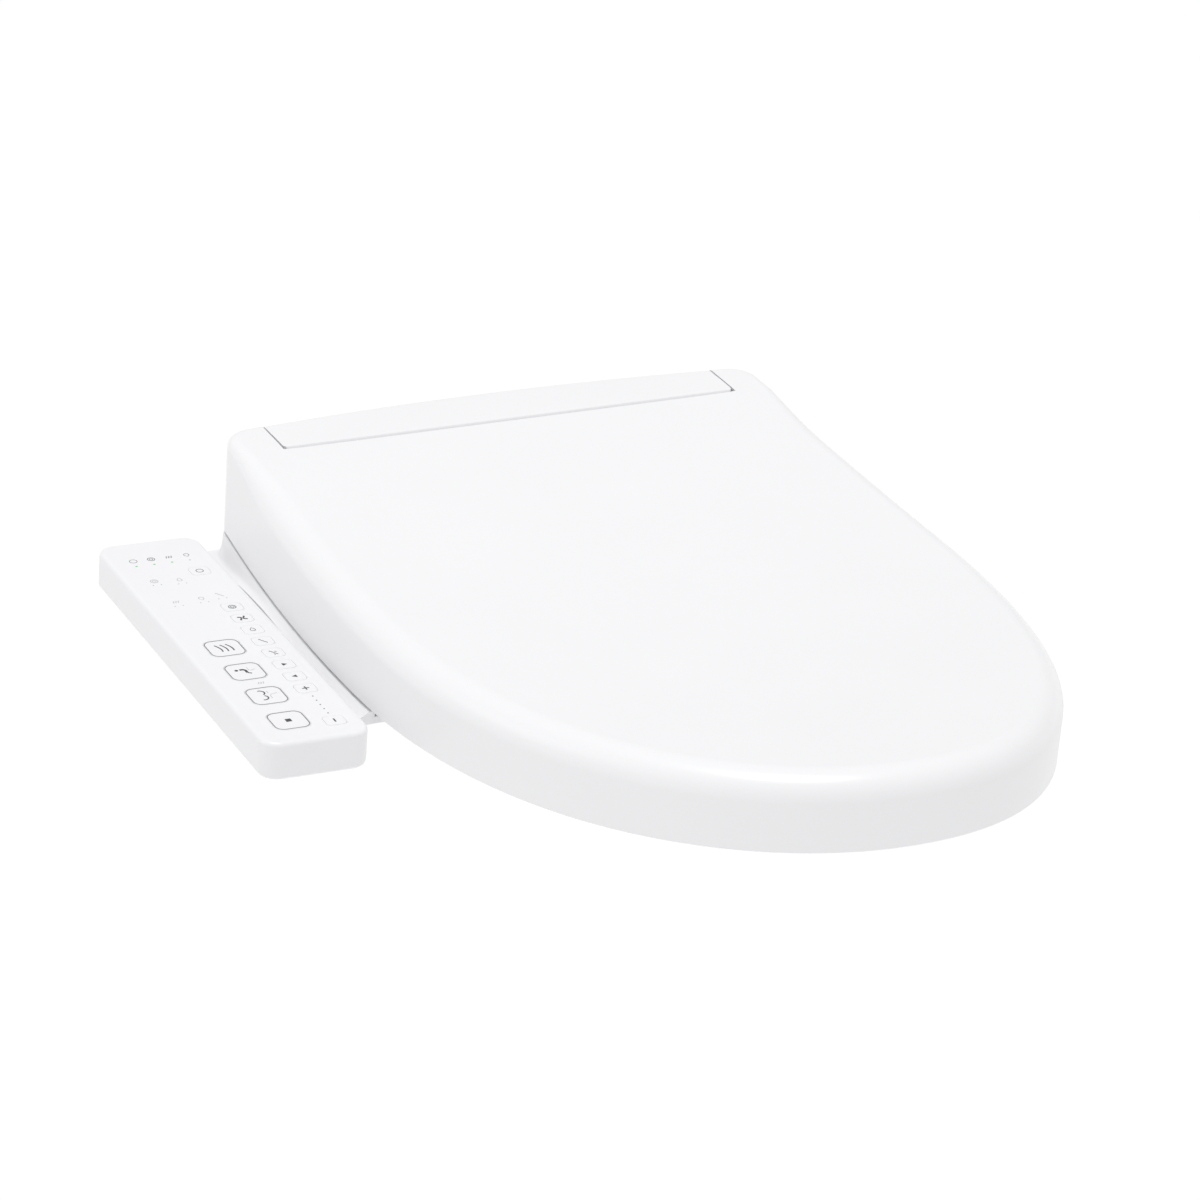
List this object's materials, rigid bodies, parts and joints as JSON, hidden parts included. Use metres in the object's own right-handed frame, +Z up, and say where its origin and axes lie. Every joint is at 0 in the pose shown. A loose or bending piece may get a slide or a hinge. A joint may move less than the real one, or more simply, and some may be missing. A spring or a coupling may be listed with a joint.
{
  "type": "electric bidet seat",
  "caption": "Elongated electric bidet seat with a lifting lid and seat, a sliding wash wand, a warm air dryer and a side panel of keys.",
  "frame": {"origin": "on the bowl's rim plane, midway between the two fixing bolts", "axes": "+Z up, the front of the seat towards -Y, the control panel on the -X side"},
  "size_m": [0.4549, 0.537, 0.095],
  "materials": {
    "white_gloss": "gloss",
    "lid_gloss": "gloss",
    "grey_plastic": "satin",
    "dark_plastic": "matte",
    "ivory_plastic": "satin",
    "rubber": "matte",
    "steel": "satin",
    "brass": "satin",
    "board_green": "satin",
    "carbon": "matte",
    "overlay_film": "satin",
    "lamp_green": "satin",
    "key_film": "satin",
    "heater_foil": "satin"
  },
  "bodies": {
    "fixing": {"base_plate": "grey_plastic", "clamp_slides": "steel"},
    "unit": {"lower_case": "white_gloss", "upper_case": "white_gloss", "top_cover": "white_gloss", "case_pads": "rubber", "screws": "steel", "hinge_shafts": "steel", "soft_close_dampers": "dark_plastic", "wand_guide": "grey_plastic", "wand_motor": "dark_plastic", "fan_housing": "grey_plastic", "fan_motor": "dark_plastic", "dryer_duct": "grey_plastic", "dryer_heater": "steel", "water_tank": "ivory_plastic", "tank_heater": "steel", "inlet_valve": "dark_plastic", "water_inlet": "brass", "inner_pipes": "grey_plastic", "main_board": "board_green", "power_module": "dark_plastic", "cord_gland": "rubber", "panel_tray": "white_gloss", "panel_face": "white_gloss", "panel_overlay": "overlay_film", "panel_board": "board_green", "panel_lamps": "lamp_green"},
    "seat": {"seat_top": "white_gloss", "seat_base": "white_gloss", "seat_arms": "white_gloss", "seat_heater": "heater_foil", "seat_bumpers": "rubber"},
    "lid": {"lid_shell": "lid_gloss", "lid_liner": "lid_gloss", "lid_lugs": "white_gloss", "lid_buffers": "rubber"},
    "wand": {"wand_tube": "grey_plastic", "wand_tip": "white_gloss"},
    "pinion": {"wand_pinion": "ivory_plastic"},
    "impeller": {"fan_impeller": "dark_plastic"},
    "flap": {"dryer_flap": "white_gloss"},
    "drain": {"drain_plug": "grey_plastic"},
    "drawer": {"filter_drawer": "grey_plastic", "filter_block": "carbon"},
    "release": {"release_button": "grey_plastic"},
    "key_dryer": {"key_dryer": "key_film"},
    "key_front": {"key_front": "key_film"},
    "key_rear": {"key_rear": "key_film"},
    "key_stop": {"key_stop": "key_film"},
    "key_plus": {"key_plus": "key_film"},
    "key_minus": {"key_minus": "key_film"},
    "key_forward": {"key_forward": "key_film"},
    "key_back": {"key_back": "key_film"},
    "key_f1": {"key_f1": "key_film"},
    "key_f2": {"key_f2": "key_film"},
    "key_f3": {"key_f3": "key_film"},
    "key_f4": {"key_f4": "key_film"},
    "key_f5": {"key_f5": "key_film"},
    "key_power": {"key_power": "key_film"}
  },
  "joints": [
    {"name": "unit_slide", "type": "slide", "parent": "fixing", "child": "unit", "axis": [0, -1, 0], "range_m": [0, 0.06]},
    {"name": "seat_hinge", "type": "hinge", "parent": "unit", "child": "seat", "pos_m": [0, 0.032, 0.064], "axis": [-1, 0, 0], "range_deg": [0, 100]},
    {"name": "lid_hinge", "type": "hinge", "parent": "seat", "child": "lid", "pos_m": [0, 0.032, 0.064], "axis": [1, 0, 0], "range_deg": [-105, 0]},
    {"name": "wand_slide", "type": "slide", "parent": "unit", "child": "wand", "axis": [0, -0.9135, -0.4067], "range_m": [0, 0.06]},
    {"name": "pinion_spin", "type": "hinge", "parent": "unit", "child": "pinion", "pos_m": [0, -0.03508, 0.03386], "axis": [-1, 0, 0], "range_deg": [0, 580]},
    {"name": "fan_spin", "type": "hinge", "parent": "unit", "child": "impeller", "pos_m": [0.088, 0.008, 0.038], "axis": [0, 0, 1], "continuous": true},
    {"name": "flap_hinge", "type": "hinge", "parent": "unit", "child": "flap", "pos_m": [0.047, -0.0584, 0.0184], "axis": [-1, 0, 0], "range_deg": [0, 60]},
    {"name": "drain_turn", "type": "hinge", "parent": "unit", "child": "drain", "pos_m": [-0.06, -0.056, 0.009], "axis": [0, -1, 0], "range_deg": [0, 90]},
    {"name": "drawer_slide", "type": "slide", "parent": "unit", "child": "drawer", "axis": [1, 0, 0], "range_m": [0, 0.045]},
    {"name": "release_press", "type": "slide", "parent": "unit", "child": "release", "axis": [-1, 0, 0], "range_m": [0, 0.003], "stiffness_N_per_m": 800},
    {"name": "key_dryer_press", "type": "slide", "parent": "unit", "child": "key_dryer", "axis": [0, 0, -1], "range_m": [0, 0.0006], "stiffness_N_per_m": 1500, "springref_m": -0.0001},
    {"name": "key_front_press", "type": "slide", "parent": "unit", "child": "key_front", "axis": [0, 0, -1], "range_m": [0, 0.0006], "stiffness_N_per_m": 1500, "springref_m": -0.0001},
    {"name": "key_rear_press", "type": "slide", "parent": "unit", "child": "key_rear", "axis": [0, 0, -1], "range_m": [0, 0.0006], "stiffness_N_per_m": 1500, "springref_m": -0.0001},
    {"name": "key_stop_press", "type": "slide", "parent": "unit", "child": "key_stop", "axis": [0, 0, -1], "range_m": [0, 0.0006], "stiffness_N_per_m": 1500, "springref_m": -0.0001},
    {"name": "key_plus_press", "type": "slide", "parent": "unit", "child": "key_plus", "axis": [0, 0, -1], "range_m": [0, 0.0006], "stiffness_N_per_m": 1500, "springref_m": -0.0001},
    {"name": "key_minus_press", "type": "slide", "parent": "unit", "child": "key_minus", "axis": [0, 0, -1], "range_m": [0, 0.0006], "stiffness_N_per_m": 1500, "springref_m": -0.0001},
    {"name": "key_forward_press", "type": "slide", "parent": "unit", "child": "key_forward", "axis": [0, 0, -1], "range_m": [0, 0.0006], "stiffness_N_per_m": 1500, "springref_m": -0.0001},
    {"name": "key_back_press", "type": "slide", "parent": "unit", "child": "key_back", "axis": [0, 0, -1], "range_m": [0, 0.0006], "stiffness_N_per_m": 1500, "springref_m": -0.0001},
    {"name": "key_f1_press", "type": "slide", "parent": "unit", "child": "key_f1", "axis": [0, 0, -1], "range_m": [0, 0.0006], "stiffness_N_per_m": 1500, "springref_m": -0.0001},
    {"name": "key_f2_press", "type": "slide", "parent": "unit", "child": "key_f2", "axis": [0, 0, -1], "range_m": [0, 0.0006], "stiffness_N_per_m": 1500, "springref_m": -0.0001},
    {"name": "key_f3_press", "type": "slide", "parent": "unit", "child": "key_f3", "axis": [0, 0, -1], "range_m": [0, 0.0006], "stiffness_N_per_m": 1500, "springref_m": -0.0001},
    {"name": "key_f4_press", "type": "slide", "parent": "unit", "child": "key_f4", "axis": [0, 0, -1], "range_m": [0, 0.0006], "stiffness_N_per_m": 1500, "springref_m": -0.0001},
    {"name": "key_f5_press", "type": "slide", "parent": "unit", "child": "key_f5", "axis": [0, 0, -1], "range_m": [0, 0.0006], "stiffness_N_per_m": 1500, "springref_m": -0.0001},
    {"name": "key_power_press", "type": "slide", "parent": "unit", "child": "key_power", "axis": [0, 0, -1], "range_m": [0, 0.0006], "stiffness_N_per_m": 1500, "springref_m": -0.0001}
  ],
  "couplings": [
    {"joint": "pinion_spin", "follows": "wand_slide", "rad_per_m": 157.08}
  ]
}
